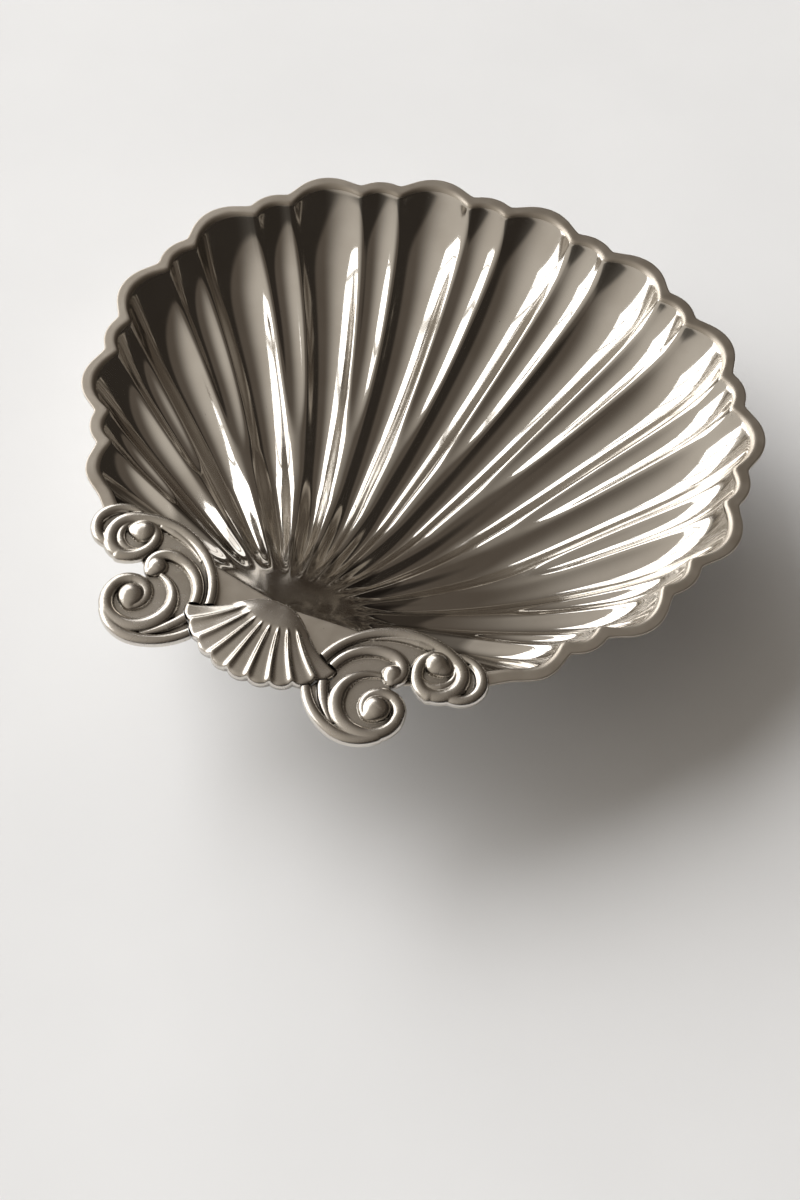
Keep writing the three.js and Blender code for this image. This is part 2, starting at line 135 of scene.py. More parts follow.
# Painted dark reflection round the hub, in lobes between the large flutes and drawn out along the handle's
# edges
PAINTED_REFLECTION_REACH = 36.0
PAINTED_REFLECTION_LOBE = 7.0
PAINTED_REFLECTION_SIDE = 42.0
PAINTED_REFLECTION_SIDE_POWER = 3.0
PAINTED_REFLECTION_EDGE = 2.5
PAINTED_REFLECTION_STRAY = 1.5
PAINTED_REFLECTION_STRAY_RANGE = (0.3, 0.7)

# Mesh steps, and the field that a scroll is drawn on
LARGE_STEPS = 20
SMALL_STEPS = 12
RUN_OUT_STEPS = 14
BOWL_ROWS = 100
ROW_CROWDING = 1.5
ROLL_STEPS = 4
FLANGE_STEPS = 4
EDGE_STEPS = 4
LIP_PROBE = 0.001
WELD_PER_MM = 10000
ARC_STEP = math.radians(3)
CURL_STEPS = 12
RELIEF_REACH = 4.0
POINTS_AT_ONCE = 4000
SCROLL_X = (14.0, 70.0)
SCROLL_Y = (-37.0, 16.0)
SCROLL_STEP = 0.24
FACE_PROBE = 0.1
LOBE_STEPS = 18
SHELL_ROWS = 70
SHELL_CROWD = np.array([0, 0.0012, 0.004, 0.009, 0.017, 0.03])
SHELL_SIDE_CROWD = np.array([1, 0.998, 0.994])
FOOT_SIDES = 64
PAD_RING = 0.8
BALL_STEPS = 40
NECK_STEPS = 9

LIP_CENTRE = LIP_RADIUS - HUB_INSET
LARGE_HALF = LARGE_SHARE / 2
PITCH = (EDGE_ANGLE - EDGE_STRIP) / (SIDE_FLUTES + LARGE_HALF)

# The hub's place in the row frame, from the fan's middle lobe and the rim's top
_, dish_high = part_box("dish_body")
LENGTH_TO_FAN = LIP_CENTRE + LIP_RADIUS + LARGE_DEPTH + FLANGE
HUB = np.array([0.0, dish_high.y - LENGTH_TO_FAN * MM, dish_high.z])


def to_row(points):
    return np.asarray(points, float) * MM + HUB


def smooth_step(value, low, high):
    t = np.clip((value - low) / (high - low), 0, 1)
    return t * t * (3 - 2 * t)


def soft_max(a, b, softness):
    return softness * np.logaddexp(a / softness, b / softness)


def unit(vectors):
    return vectors / np.maximum(np.linalg.norm(vectors, axis=-1, keepdims=True), TINY)


# Meshes


def make_piece(name, points, faces, materials, indices=None, sharp=None):
    """A mesh object in the row frame from points in the drawing frame."""
    mesh = bpy.data.meshes.new(name)
    mesh.from_pydata(to_row(points).tolist(), [], faces)
    for material in materials:
        mesh.materials.append(material)
    if indices is not None:
        mesh.polygons.foreach_set("material_index", indices)
    mesh.shade_smooth()
    if sharp is not None:
        mesh.set_sharp_from_angle(angle=sharp)
    mesh.validate()
    piece = bpy.data.objects.new(name, mesh)
    bpy.context.scene.collection.objects.link(piece)
    return piece


def place(piece, node):
    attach(piece, "root")
    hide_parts(node)


# Bowl surface


def lip_reach(angle):
    """Distance of the lip from the hub."""
    across = LIP_CENTRE * np.sin(angle)
    bulge = SHOULDER * np.sin(np.pi * angle / SHOULDER_SPAN) ** 2
    return LIP_CENTRE * np.cos(angle) + np.sqrt(LIP_RADIUS**2 - across**2) + bulge


def lip_normal(angle):
    """Direction out of the bowl, square to the lip."""

    def lip(at):
        return np.stack([np.sin(at), np.cos(at)], -1) * lip_reach(at)[..., None]

    along = unit(lip(angle + LIP_PROBE) - lip(angle - LIP_PROBE))
    return np.stack([-along[..., 1], along[..., 0]], -1)


def flute_depth(angle, share, softness):
    """Depth of the flutes below the crests, whose edges are rounded by a softness."""
    phase = angle / PITCH
    flute = np.clip(np.round(phase), -SIDE_FLUTES, SIDE_FLUTES)
    offset = np.abs(phase - flute)
    reach = lip_reach(angle) * share
    size = share**FLUTE_TAPER * smooth_step(reach, HUB_PLAIN, HUB_PLAIN + HUB_FADE)

    cusped = soft_max(LARGE_DEPTH * (1 - (offset / LARGE_HALF) ** 2), 0.0, softness)
    waved = LARGE_DEPTH * (0.5 + 0.5 * np.cos(2 * np.pi * np.minimum(offset, 0.5)))
    sharpness = smooth_step(share, CREST_ROUND_TO, CREST_ROUND_FROM)
    channel = waved + (cusped - waved) * sharpness
    run_out = LARGE_DEPTH + (EDGE_DEPTH - LARGE_DEPTH) * smooth_step(offset, 0, LARGE_HALF)
    climb = np.minimum(1, (EDGE_ANGLE - np.abs(angle)) / EDGE_WALL)
    large = np.where(np.abs(phase) < SIDE_FLUTES, channel, run_out * (1 - (1 - climb) ** 2))

    small_end = SMALL_END + SMALL_END_SIDE * (angle / EDGE_ANGLE) ** 2
    spent = np.minimum(1, (1 - share) / (1 - small_end))
    across = (0.5 - offset) / (0.5 - LARGE_HALF)
    small = soft_max(SMALL_DEPTH * (1 - spent**4 - across**2), 0.0, softness)
    between = np.abs(phase) < SIDE_FLUTES
    return size * (large + np.where(between, small, 0))


def bowl_point(angle, share, softness):
    """Points of the bowl's face at shares of the way from the hub to the lip."""
    angle, share = np.broadcast_arrays(np.asarray(angle, float), np.asarray(share, float))
    reach = lip_reach(angle) * share
    from_lip = lip_reach(angle) - reach
    heading = angle - SWEEP * np.sin(np.pi * angle / EDGE_ANGLE) * (1 - share**2)
    at_right = np.exp(-np.sin(EDGE_ANGLE - heading) / EDGE_BLEND)
    at_left = np.exp(-np.sin(EDGE_ANGLE + heading) / EDGE_BLEND)
    from_handle = -reach * EDGE_BLEND * np.log(at_right + at_left)

    wall = 1 - np.exp(-from_lip / WALL_ROUND)
    saucer = 1 - (1 - np.minimum(1, from_lip / SAUCER_RUN)) ** 2
    climb = 1 - (1 - np.clip(from_handle / HANDLE_RUN, 0, 1)) ** HANDLE_CURVE
    depth = (WALL_DEPTH * wall + SAUCER_DEPTH * saucer) * climb

    flute = flute_depth(angle, share, softness)
    bulge = lip_normal(angle) * (flute * (1 - wall))[..., None]
    x = reach * np.sin(heading) + bulge[..., 0]
    y = reach * np.cos(heading) + bulge[..., 1]
    return np.stack([x, y, -depth - flute * wall], -1)


def bend(start, corner, end, steps):
    """Points of the round between two points that meet at a corner, ends included."""
    t = np.linspace(0, 1, steps + 1)[:, None, None]
    return start * (1 - t) ** 2 + 2 * corner * t * (1 - t) + end * t**2


def column_angles():
    """Angles at the lip from edge to edge, crowded in step with the flutes."""
    right = []
    for flute in range(SIDE_FLUTES + 1):
        first = flute - LARGE_HALF if flute else 0.0
        last = flute + LARGE_HALF if flute < SIDE_FLUTES else float(flute)
        steps = round(LARGE_STEPS * (last - first) / LARGE_SHARE)
        right.extend(np.linspace(first, last, steps, endpoint=False))
        if flute < SIDE_FLUTES:
            right.extend(np.linspace(last, last + 1 - LARGE_SHARE, SMALL_STEPS, endpoint=False))
    right = np.array(right) * PITCH
    run_out = np.linspace(SIDE_FLUTES * PITCH, EDGE_ANGLE, RUN_OUT_STEPS + 1)[:-1]
    right = np.concatenate([right, run_out])
    return np.concatenate([-right[:0:-1], right])


def sheet_grids(softness):
    """Point grids of the sheet's face: bowl and rim together, and the two sides of the handle plate."""
    angles = column_angles()
    shares = 1 - np.linspace(0, 1, BOWL_ROWS + 1) ** ROW_CROWDING
    inset = 1 - LIP_ROLL_IN / lip_reach(angles)
    bowl = bowl_point(angles[None, :], shares[:, None] * inset[None, :], softness)

    lip = bowl_point(angles, 1.0, softness)
    lobe = np.minimum(1, flute_depth(angles, 1.0, softness) / SMALL_DEPTH)
    width = FLANGE + FLANGE_VALLEY * (1 - lobe)
    out = np.concatenate([lip_normal(angles), np.zeros((len(angles), 1))], 1)
    roll = bend(bowl[0], lip, lip + out * LIP_ROLL_OUT, ROLL_STEPS)[1:]
    spread = np.linspace(0, 1, FLANGE_STEPS + 1)[1:, None, None]
    flange = lip + out * (LIP_ROLL_OUT + (width[:, None] - LIP_ROLL_OUT) * spread)
    fan = np.concatenate([bowl[::-1], roll, flange])

    plates = []
    edge_lip = lip_reach(EDGE_ANGLE)
    for column, side in ((-1, 1), (0, -1)):
        edge_way = np.array([side * math.sin(EDGE_ANGLE), math.cos(EDGE_ANGLE), 0])
        edge = edge_way * shares[:, None] * edge_lip
        outer = fan[-1, column] * shares[:, None]
        outer[:, 1] -= PLATE_REACH * (1 - shares**2)
        step = unit(outer - edge) * PLATE_ROLL
        rows = bend(bowl[:, column], edge, edge + step, ROLL_STEPS)
        flat = edge + step + (outer - edge - step) * spread
        plate = np.concatenate([rows, flat]).transpose(1, 0, 2)
        plate[0] = np.concatenate([bowl[:1, column], roll[:, column], flange[:, column]])
        plates.append(plate[:, ::-1] if side > 0 else plate)
    return [fan, *plates]


def grid_faces(rows, columns, start):
    """Faces of a grid of points, which face up where rows run outwards and columns clockwise."""
    index = start + np.arange(rows * columns).reshape(rows, columns)
    return np.stack([index[:-1, 1:], index[1:, 1:], index[1:, :-1], index[:-1, :-1]], -1).reshape(-1, 4)


def weld(points, quads):
    """The first of the points in each place, the faces between these, and which of the quads they were."""
    keys = np.round(points * WELD_PER_MM).astype(np.int64)
    _, first, same = np.unique(keys, axis=0, return_index=True, return_inverse=True)
    same = same.reshape(-1)
    faces = []
    kept = []
    for number, quad in enumerate(same[quads]):
        face = [v for i, v in enumerate(quad) if v != quad[i - 1]]
        if len(set(face)) > 2:
            faces.append(face)
            kept.append(number)
    return first, faces, kept


def point_normals(points, faces):
    """Normals at points, from the faces that meet there."""
    normals = np.zeros_like(points)
    for face in faces:
        corner = points[face]
        normal = np.cross(corner[2] - corner[0], corner[-1] - corner[1])
        normals[face] += normal
    return unit(normals)


def outline_of(faces):
    """The open edges of a face list as one loop of point numbers, in the faces' own direction."""
    edges = {}
    for face in faces:
        for i, end in enumerate(face):
            edges[(face[i - 1], end)] = True
    following = {a: b for a, b in edges if (b, a) not in edges}
    loop = [next(iter(following))]
    while len(loop) < len(following):
        loop.append(following[loop[-1]])
    return loop


def sheet_quads(grids):
    """Faces of the sheet's grids in one numbering, and which of them are satin: rim and plate."""
    quads = []
    satin = []
    start = 0
    for number, grid in enumerate(grids):
        rows, columns = grid.shape[:2]
        faces = grid_faces(rows, columns, start)
        quads.append(faces)
        row = np.repeat(np.arange(rows - 1), columns - 1)
        satin.append(row >= BOWL_ROWS + 1 if number == 0 else np.ones(len(faces), bool))
        start += rows * columns
    return np.concatenate(quads), np.concatenate(satin)


def dish_body(polished, satin):
    """Bowl, rim and handle plate as one closed sheet: a face, an underside and a rounded edge."""
    grids = sheet_grids(CREST_SOFT)
    under_grids = sheet_grids(UNDER_SOFT)
    points = np.concatenate([grid.reshape(-1, 3) for grid in grids])
    under_points = np.concatenate([grid.reshape(-1, 3) for grid in under_grids])
    quads, satin_quads = sheet_quads(grids)
    first, faces, kept = weld(points, quads)
    top = points[first]
    under = under_points[first]
    bottom = under - point_normals(under, faces) * SHEET

    loop = np.array(outline_of(faces))
    along = unit(top[np.roll(loop, -1)] - top[np.roll(loop, 1)])
    out = np.stack([along[:, 1], -along[:, 0], 0 * along[:, 0]], -1)
    rim = top[loop].copy()
    top[loop] -= out * EDGE_ROUND
    bottom[loop] = top[loop] - [0, 0, SHEET]

    count = len(top)
    size = len(loop)
    rings = [loop]
    ring_points = []
    quarter = [math.pi / 2 * step / EDGE_STEPS for step in range(1, EDGE_STEPS + 1)]
    outward = [(turn, -EDGE_ROUND * (1 - math.cos(turn))) for turn in quarter]
    inward = [(turn, -SHEET - height) for turn, height in reversed(outward)]
    for turn, height in outward + inward:
        ring = rim - out * EDGE_ROUND * (1 - math.sin(turn)) + [0, 0, height]
        rings.append(2 * count + len(ring_points) * size + np.arange(size))
        ring_points.append(ring)
    rings.append(loop + count)

    all_points = np.concatenate([top, bottom, *ring_points])
    all_faces = faces + [[v + count for v in face[::-1]] for face in faces]
    for upper, lower in zip(rings, rings[1:]):
        strip = np.stack([upper, lower, np.roll(lower, -1), np.roll(upper, -1)], -1)
        all_faces.extend(strip.tolist())
    rim_faces = len(all_faces) - 2 * len(faces)
    indices = satin_quads[kept].astype(int).tolist() * 2 + [1] * rim_faces
    return make_piece("dish_body_sheet", all_points, all_faces, [polished, satin], indices)


# Scroll castings, drawn for the right-hand side
# A band has a start, a heading in degrees, a half width, a way to turn (1 for anticlockwise), and its arcs.
# An arc has a radius, a turn in degrees and the half width at its end. An eye has a centre and a radius.

UPPER_ARCS = ((26.3, 78, 2.1), (24.4, 34, 2.3), (7.6, 104, 2.5), (6.8, 118, 1.9))
UPPER_BAND = ((19.4, -14.2), 84, 1.7, -1, UPPER_ARCS)
UPPER_CURL = ((54, -8.1), 169, 2.2, -1, ((8.9, 87, 2.0), (4.5, 100, 2.0), (4.0, 40, 1.8)))
UPPER_LEDGE = ((56.2, 5.4), -42, 0.9, -1, ((5.9, 100, 1.7), (5.6, 95, 1.0)))
UPPER_TONGUE = ((30.4, 1.9), 38, 0.3, -1, ((27, 30, 1.5), (60, 4, 1.4)))
MIDDLE_BAND = ((24, -14.4), 89, 1.8, -1, ((14.4, 86, 2.3), (6, 70, 2.1), (4.2, 60, 1.9)))
LOWER_ARCS = ((10.4, 90, 2.7), (10.6, 91, 2.4), (8.8, 79, 2.2), (6.9, 60, 2.1))
LOWER_BAND = ((38.3, -8.4), -169, 1.0, 1, LOWER_ARCS)
LOWER_CURL = ((49.5, -20), 83, 2.1, 1, ((5.8, 129, 2.1), (5.0, 60, 1.8), (4.8, 40, 1.5)))
OUTER_BAND = ((17.9, -17.6), -72, 1.6, 1, ((21.8, 61, 2.0), (13, 62, 1.9)))
INNER_RIB = ((22.6, -14.6), -74, 2.0, 1, ((30, 20, 1.7), (30, 16, 0.6)))
TAIL_BAND = ((56.5, 9.0), 12, 1.2, -1, ((8.6, 88, 2.1), (6.8, 104, 1.7)))
TAIL_LEDGE = ((60.2, 7.2), -10, 0.5, -1, ((6.6, 60, 1.1), (6.0, 40, 0.7)))
BANDS = (
    UPPER_BAND,
    UPPER_CURL,
    UPPER_LEDGE,
    UPPER_TONGUE,
    MIDDLE_BAND,
    LOWER_BAND,
    LOWER_CURL,
    OUTER_BAND,
    INNER_RIB,
    TAIL_BAND,
    TAIL_LEDGE,
)
EYES = ((51.5, 3.1, 4.0), (41.2, -6.3, 3.3), (42.6, -19.3, 4.4))
CURLED = (UPPER_CURL, MIDDLE_BAND, LOWER_CURL)


def band_stations(band, arcs=None):
    """Places (x, y, direction, half width) along a band, or along its first arcs."""
    (x, y), heading, half, turn_way, all_arcs = band
    angle = math.radians(heading)
    stations = [(x, y, angle, half)]
    for radius, turn, end_half in all_arcs[:arcs]:
        steps = math.ceil(math.radians(turn) / ARC_STEP)
        step = turn_way * math.radians(turn) / steps
        chord = 2 * radius * math.sin(abs(step) / 2)
        for number in range(1, steps + 1):
            x += chord * math.cos(angle + step / 2)
            y += chord * math.sin(angle + step / 2)
            angle += step
            stations.append((x, y, angle, half + (end_half - half) * number / steps))
        half = end_half
    return stations


def band_line(band, arcs=None):
    """Points along the middle of a band, or of its first arcs."""
    return [station[:2] for station in band_stations(band, arcs)]


def curl_in(band, eye):
    """Places along a band that swells into the eye it curls round."""
    stations = band_stations(band)
    x, y, angle, half = stations[-1]
    eye_x, eye_y, radius = eye
    ahead = CURL_LEAD * math.hypot(eye_x - x, eye_y - y)
    corner_x, corner_y = x + ahead * math.cos(angle), y + ahead * math.sin(angle)
    for step in range(1, CURL_STEPS + 1):
        t = step / CURL_STEPS
        weights = ((1 - t) ** 2, 2 * t * (1 - t), t**2)
        at_x = np.dot(weights, (x, corner_x, eye_x))
        at_y = np.dot(weights, (y, corner_y, eye_y))
        stations.append((at_x, at_y, angle, half + (radius - half) * t**CURL_SWELL))
    return stations


def nearest(points, start, side):
    """Shares along line segments nearest to points, and the distances there."""
    away = points[:, None] - start[None]
    share = np.clip((away * side).sum(-1) / np.maximum((side**2).sum(-1), TINY), 0, 1)
    return share, np.linalg.norm(away - share[..., None] * side, axis=-1)


def close_by(function, points, outline):
    """Rows of a function for points about an outline's box, and a far distance and no height elsewhere."""
    low, high = outline.min(0) - RELIEF_REACH, outline.max(0) + RELIEF_REACH
    close = np.flatnonzero(np.all((points > low) & (points < high), axis=1))
    rows = np.array([np.full(len(points), RELIEF_REACH), np.zeros(len(points))])
    for part in np.array_split(close, len(close) // POINTS_AT_ONCE + 1):
        rows[:, part] = function(points[part])
    return rows


def band_relief(points, stations):
    """Distance outside a band's edge, and height of its round above its land."""
    places = np.array(stations)
    start, side = places[:-1, :2], np.diff(places[:, :2], axis=0)

    def relief(part):
        share, distance = nearest(part, start, side)
        half = places[:-1, 3] + np.diff(places[:, 3]) * share
        round_off = np.sqrt(np.clip(1 - (distance / half) ** 2, 0, 1))
        return np.stack([(distance - half).min(1), (BAND_RISE * half**BAND_SWELL * round_off).max(1)])

    return close_by(relief, points, places[:, :2])


def outside(points, ring):
    """Distance outside a closed outline, negative inside."""
    start = np.array(ring)
    side = np.roll(start, -1, 0) - start

    def gap(part):
        distance = nearest(part, start, side)[1].min(1)
        below = start[None, :, 1] > part[:, None, 1]
        spans = below != np.roll(below, -1, 1)
        rise = np.where(side[:, 1] == 0, TINY, side[:, 1])
        at = start[:, 0] + side[:, 0] * (part[:, None, 1] - start[:, 1]) / rise
        inside = (spans & (part[:, None, 0] < at)).sum(1) % 2 == 1
        return np.stack([np.where(inside, -distance, distance), distance])

    return close_by(gap, points, start)[0]


def scroll_relief(points):
    """Distance outside a scroll's outline, and height of its face."""
    body = band_line(UPPER_BAND) + band_line(LOWER_CURL, 1)[::-1] + band_line(OUTER_BAND)[::-1]
    edges = []
    heights = []
    for ring in (body, band_line(TAIL_BAND)):
        gap = outside(points, ring)
        edges.append(gap)
        heights.append(WEB - FLANK * np.maximum(gap, 0))
    curls = [curl_in(band, eye) for band, eye in zip(CURLED, EYES)]
    domes = [[(x, y, 0, radius), (x, y, 0, radius)] for x, y, radius in EYES]
    for stations in [*map(band_stations, BANDS), *curls, *domes]:
        gap, rise = band_relief(points, stations)
        edges.append(gap)
        heights.append(BAND_LAND + rise - FLANK * np.maximum(gap, 0))
    heights = np.array(heights) / CREASE
    face = CREASE * np.logaddexp.reduce(heights, axis=0)
    seat = outside(points, shell_outline(SOLDER))
    return np.maximum(np.min(edges, axis=0), -seat), SOLDER + face


def without_pinches(cells):
    """Cells with every corner-to-corner touch filled."""
    while True:
        a, b, c, d = cells[:-1, :-1], cells[1:, :-1], cells[:-1, 1:], cells[1:, 1:]
        pinch = (a & d & ~b & ~c) | (b & c & ~a & ~d)
        if not pinch.any():
            return cells
        for block in (a, b, c, d):
            block |= pinch


def largest_patch(cells):
    """The largest group of cells that touch along sides."""
    left = set(zip(*np.nonzero(cells)))
    best = []
    while left:
        patch = [left.pop()]
        for i, j in patch:
            for cell in ((i + 1, j), (i - 1, j), (i, j + 1), (i, j - 1)):
                if cell in left:
                    left.remove(cell)
                    patch.append(cell)
        best = max(best, patch, key=len)
    return np.array(best)


def scroll_shape():
    """A scroll's face on a fine grid drawn to its outline, with walls and a flat underside.

    Gives points, faces, and a normal for every corner of the faces.
    """
    xs = np.arange(*SCROLL_X, SCROLL_STEP)
    ys = np.arange(*SCROLL_Y, SCROLL_STEP)
    grid = np.stack(np.meshgrid(xs, ys, indexing="ij"), -1)
    edge = scroll_relief(grid.reshape(-1, 2))[0].reshape(grid.shape[:2])
    middle = (edge[:-1, :-1] + edge[1:, :-1] + edge[:-1, 1:] + edge[1:, 1:]) / 4
    cells = largest_patch(without_pinches(middle < 0))
    number = np.arange(edge.size).reshape(edge.shape)
    i, j = cells[:, 0], cells[:, 1]
    quads = np.stack([number[i, j], number[i + 1, j], number[i + 1, j + 1], number[i, j + 1]], -1)
    used, faces = np.unique(quads, return_inverse=True)
    faces = faces.reshape(quads.shape)

    links = np.stack([faces, np.roll(faces, -1, 1)], -1).reshape(-1, 2)
    known = set(map(tuple, links.tolist()))
    rim = np.array([link for link in links.tolist() if (link[1], link[0]) not in known])
    plan = grid.reshape(-1, 2)[used]
    gap = edge.reshape(-1)[used]
    slope = unit(np.stack(np.gradient(edge, SCROLL_STEP), -1).reshape(-1, 2)[used])
    ends = np.unique(rim)
    plan[ends] -= np.clip(gap[ends], -SCROLL_STEP, SCROLL_STEP)[:, None] * slope[ends]
    face = scroll_relief(plan)[1]

    count = len(plan)
    lean = [(scroll_relief(plan + way)[1] - face) / FACE_PROBE for way in np.eye(2) * FACE_PROBE]
    upward = unit(np.column_stack([-lean[0], -lean[1], np.ones(count)]))
    outward = np.column_stack([slope, np.zeros(count)])
    points = np.concatenate([np.column_stack([plan, face]), np.column_stack([plan, np.full(count, SOLDER)])])
    walls = np.stack([rim[:, 1], rim[:, 0], rim[:, 0] + count, rim[:, 1] + count], -1)
    below = np.broadcast_to((0.0, 0.0, -1.0), (*faces.shape, 3))
    normals = np.concatenate([upward[faces], below, outward[walls % count]])
    return points, np.concatenate([faces, faces[:, ::-1] + count, walls]), normals


def scroll(name, shape, cast, mirror):
    """A scroll casting, as drawn or mirrored for the left-hand side."""
    points, faces, normals = shape
    if mirror:
        points, faces, normals = points * (-1, 1, 1), faces[:, ::-1], normals[:, ::-1] * (-1, 1, 1)
    piece = make_piece(name, points, faces.tolist(), [cast])
    piece.data.normals_split_custom_set(normals.reshape(-1, 3).tolist())
    return piece


# Shell cartouche


def shell_side(along):
    """Angle of the shell's side from its middle line."""
    boss_angle = math.asin(BOSS_RADIUS / (BOSS_RADIUS + BOSS_SETBACK)) * BOSS_TANGENT
    return boss_angle + (SHELL_ANGLE - boss_angle) * along - SHELL_WAIST * np.sin(np.pi * along)


def shell_near(across):
    """Distance of the boss's rounded end from the shell's centre."""
    boss_centre = BOSS_RADIUS + BOSS_SETBACK
    angle = across * shell_side(0.0)
    return boss_centre * np.cos(angle) - np.sqrt(BOSS_RADIUS**2 - (boss_centre * np.sin(angle)) ** 2)


def shell_reach(across, along):
    """Distance from the shell's centre, up to its scalloped far edge."""
    lobe = (across + 1) / 2 * SHELL_LOBES
    in_lobe = 2 * (lobe - np.floor(np.minimum(lobe, SHELL_LOBES - TINY))) - 1
    far = SHELL_RADIUS + SHELL_SCALLOP * (1 - in_lobe**2)
    near = shell_near(across)
    return near + (far - near) * along


def shell_point(across, along):
    """Place in plan at shares across and along the shell."""
    reach = shell_reach(across, along)
    angle = across * shell_side(along)
    return reach * np.sin(angle), SHELL_CENTRE - reach * np.cos(angle)


def shell_height(across, along):
    """Height of the shell's face: a dome, plain at its near end, with ribs between its lobes."""
    near = shell_near(across)
    plain = (shell_reach(across, along) - near) / (SHELL_RADIUS + SHELL_SCALLOP - near)
    to_boss = plain / BOSS_LENGTH
    past_boss = (plain - BOSS_LENGTH) / (1 - BOSS_LENGTH)
    rise = np.where(plain < BOSS_LENGTH, np.sin(0.5 * np.pi * to_boss), np.cos(0.5 * np.pi * past_boss))
    dome = SHELL_DOME * rise * (1 - across**4)
    lobe = (across + 1) / 2 * SHELL_LOBES
    crest = np.exp(-(((lobe - np.clip(np.round(lobe), 1, SHELL_LOBES - 1)) / RIB_WIDTH) ** 2))
    lobed = smooth_step(to_boss, RIB_START, RIB_FULL)
    return SOLDER + SHELL_EDGE + dome + SHELL_RIB * (BOSS_RISE + (crest - BOSS_RISE) * lobed)


def shell_grid():
    """Shares across and along the shell, crowded near its outline."""
    middle = np.linspace(SHELL_CROWD[-1], 1 - SHELL_CROWD[-1], SHELL_ROWS)[1:-1]
    along = np.concatenate([SHELL_CROWD, middle, 1 - SHELL_CROWD[::-1]])
    lobes = np.linspace(-1, 1, SHELL_LOBES * LOBE_STEPS + 1)[1:-1]
    across = np.concatenate([-SHELL_SIDE_CROWD, lobes, SHELL_SIDE_CROWD[::-1]])
    return np.meshgrid(across, along, indexing="ij")


def loop_numbers(columns, rows):
    """Numbers of a grid's edge points, once round."""
    index = np.arange(columns * rows).reshape(columns, rows)
    return np.concatenate([index[:-1, 0], index[-1, :-1], index[:0:-1, -1], index[0, :0:-1]])


def shell_outline(gap):
    """Points round the shell, a gap outside it."""
    across, along = shell_grid()
    x, y = shell_point(across, along)
    loop = loop_numbers(*across.shape)
    ring = np.stack([x.reshape(-1)[loop], y.reshape(-1)[loop]], -1)
    side = unit(np.roll(ring, -1, 0) - np.roll(ring, 1, 0))
    shift = np.stack([side[:, 1], -side[:, 0]], -1)
    area = np.sum(ring[:, 0] * np.roll(ring[:, 1], -1) - ring[:, 1] * np.roll(ring[:, 0], -1))
    return [tuple(point) for point in (ring + shift * gap * np.sign(area)).tolist()]


def shell_cartouche(cast):
    """Ribbed shell with a rounded edge, upright walls and a flat underside."""
    across, along = shell_grid()
    x, y = shell_point(across, along)
    z = shell_height(across, along)
    loop = loop_numbers(*across.shape)
    plan = np.stack([x, y], -1).reshape(-1, 2)
    inward = np.linalg.norm(plan[:, None] - plan[loop][None], axis=-1).min(1).reshape(x.shape)
    lack = 1 - np.clip(inward / SHELL_ROUND, 0, 1)
    z = z - SHELL_ROUND * (1 - np.sqrt(1 - lack**2))
    columns, rows = across.shape
    points = np.stack([x, y, z], -1).reshape(-1, 3)
    index = np.arange(columns * rows).reshape(columns, rows)
    quads = np.stack([index[:-1, :-1], index[:-1, 1:], index[1:, 1:], index[1:, :-1]], -1).reshape(-1, 4)
    under = points[loop] * [1, 1, 0] + [0, 0, SOLDER]
    base = len(points) + np.arange(len(loop))
    strip = np.stack([loop, np.roll(loop, -1), np.roll(base, -1), base], -1)
    faces = [*quads.tolist(), *strip.tolist(), base.tolist()]
    return make_piece("shell_cartouche_casting", np.concatenate([points, under]), faces, [cast])


# Ball feet


def foot(node, cast, dish):
    """Ball on a flat pad, with a neck that flares into solder against the dish's underside."""
    low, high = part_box(node)
    middle_x, middle_y = (low.x + high.x) / 2, (low.y + high.y) / 2
    centre = math.sqrt(FOOT_RADIUS**2 - FOOT_PAD**2)
    first = math.asin(FOOT_PAD / FOOT_RADIUS)
    last = math.pi - math.asin(FOOT_NECK / FOOT_RADIUS)
    profile = [(0.0, 0.0, 0.0), (FOOT_PAD * PAD_RING, 0.0, 0.0)]
    for turn in np.linspace(first, last, BALL_STEPS):
        profile.append((FOOT_RADIUS * math.sin(turn), centre - FOOT_RADIUS * math.cos(turn), 0.0))
    waist = profile[-1][1]
    for t in np.linspace(0, 1, NECK_STEPS)[1:]:
        profile.append((FOOT_NECK + FOOT_FLARE * t**3, waist, t))
    profile.append((0.0, waist, 1.0))
    points = []
    for out, z, share in profile:
        for side in range(FOOT_SIDES):
            turn = 2 * math.pi * side / FOOT_SIDES
            at = Vector((middle_x + out * MM * math.cos(turn), middle_y + out * MM * math.sin(turn), z * MM))
            _, under, _, _ = dish.ray_cast(at, Vector((0, 0, 1)))
            at.z += (under.z + SOLDER * MM - at.z) * share
            points.append(at)
    points = (np.array(points) - HUB) / MM
    quads = []
    for ring in range(len(profile) - 1):
        for side in range(FOOT_SIDES):
            a = ring * FOOT_SIDES + side
            b = ring * FOOT_SIDES + (side + 1) % FOOT_SIDES
            quads.append((a, b, b + FOOT_SIDES, a + FOOT_SIDES))
    first_of, faces, _ = weld(points, np.array(quads))
    return make_piece(f"{node}_ball", points[first_of], faces, [cast], sharp=FOOT_CREASE)


# Materials, whose patterns have scales per metre and whose bumps are in metres

TONE_SCALE = 55.0
TONE_RANGE = (0.35, 0.7)
SPECK_SCALE = 140.0
SPECK_RANGE = (0.018, 0.03)
SPECK_STRENGTH = 0.55
# Dark of the tarnish specks, and of the painted dark reflection round the hub
TARNISH_AND_PAINTED_REFLECTION = (0.10, 0.085, 0.07, 1)
SMEAR_SCALE = 260.0
SMEAR_RANGE = (0.3, 0.75)
# Darkening of narrow grooves by occlusion: partly tarnish in the grooves, partly painted shade
GROOVE_TARNISH_AND_SHADE_DISTANCE = 0.002
GROOVE_TARNISH_AND_SHADE_SAMPLES = 8
GROOVE_TARNISH_AND_SHADE_RANGE = (0.35, 0.92)
GROOVE_TARNISH_AND_SHADE_COLOUR = (0.05, 0.042, 0.034, 1)
WAVE_SCALE = 40.0
GRAIN_SCALE = 900.0

